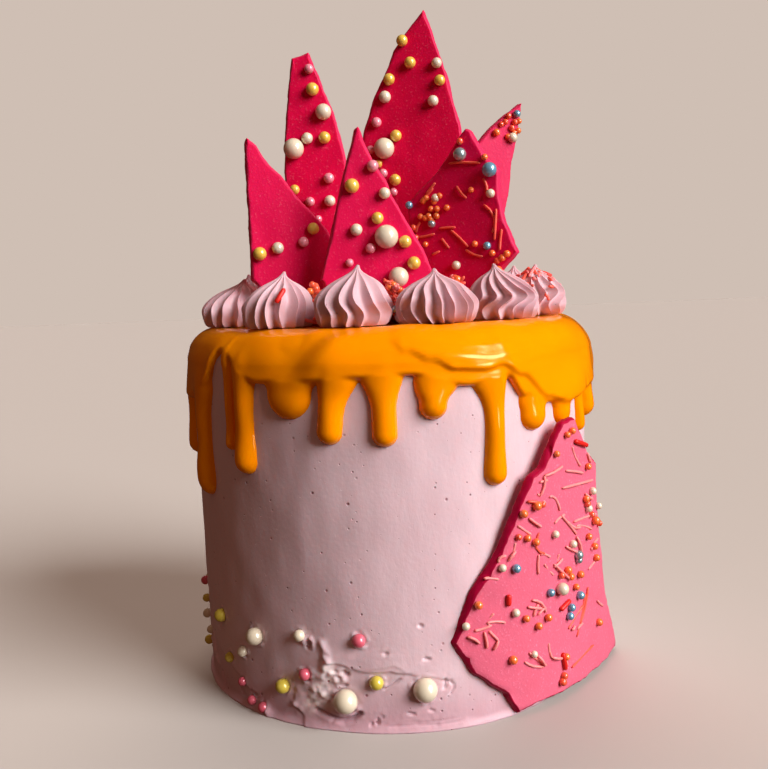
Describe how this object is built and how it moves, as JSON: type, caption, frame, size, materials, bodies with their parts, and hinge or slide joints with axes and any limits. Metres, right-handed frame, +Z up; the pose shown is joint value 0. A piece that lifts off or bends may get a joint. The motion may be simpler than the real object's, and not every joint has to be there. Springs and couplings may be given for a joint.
{
  "type": "buttercream cake",
  "caption": "Tall round buttercream cake with a glaze dripping down its wall, piped swirls, a bed of sprinkles, standing candy shards and sugar pearls. Rests on its flat base.",
  "frame": {"origin": "centre of the flat base, on the surface that the cake rests on", "axes": "+Z up through the cake; -Y is its front, as pictured, and the shard on its side faces +X -Y"},
  "size_m": [0.174, 0.1727, 0.266],
  "materials": {
    "buttercream": "smooth scraped buttercream, pale mauve pink, soft satin",
    "glaze": "wet-looking orange drip glaze, glossy",
    "swirl": "piped buttercream, dusty pink, soft satin",
    "shard": "set candy coating, crimson, satin",
    "side_shard": "set candy coating, bright pink over crimson, satin",
    "sprinkles": "sugar strands and nonpareils, coral and orange, satin"
  },
  "bodies": {
    "root": {"cake_body": "buttercream", "glaze": "glaze", "swirl_01": "swirl", "swirl_02": "swirl", "swirl_03": "swirl", "swirl_04": "swirl", "swirl_05": "swirl", "swirl_06": "swirl", "swirl_07": "swirl", "swirl_08": "swirl", "swirl_09": "swirl", "swirl_10": "swirl", "swirl_11": "swirl", "swirl_12": "swirl", "shard_front_left": "shard", "shard_back_left": "shard", "shard_front": "shard", "shard_tall": "shard", "shard_dark": "shard", "shard_far_right": "shard", "side_shard": "side_shard", "sprinkle_bed": "sprinkles"}
  },
  "joints": []
}
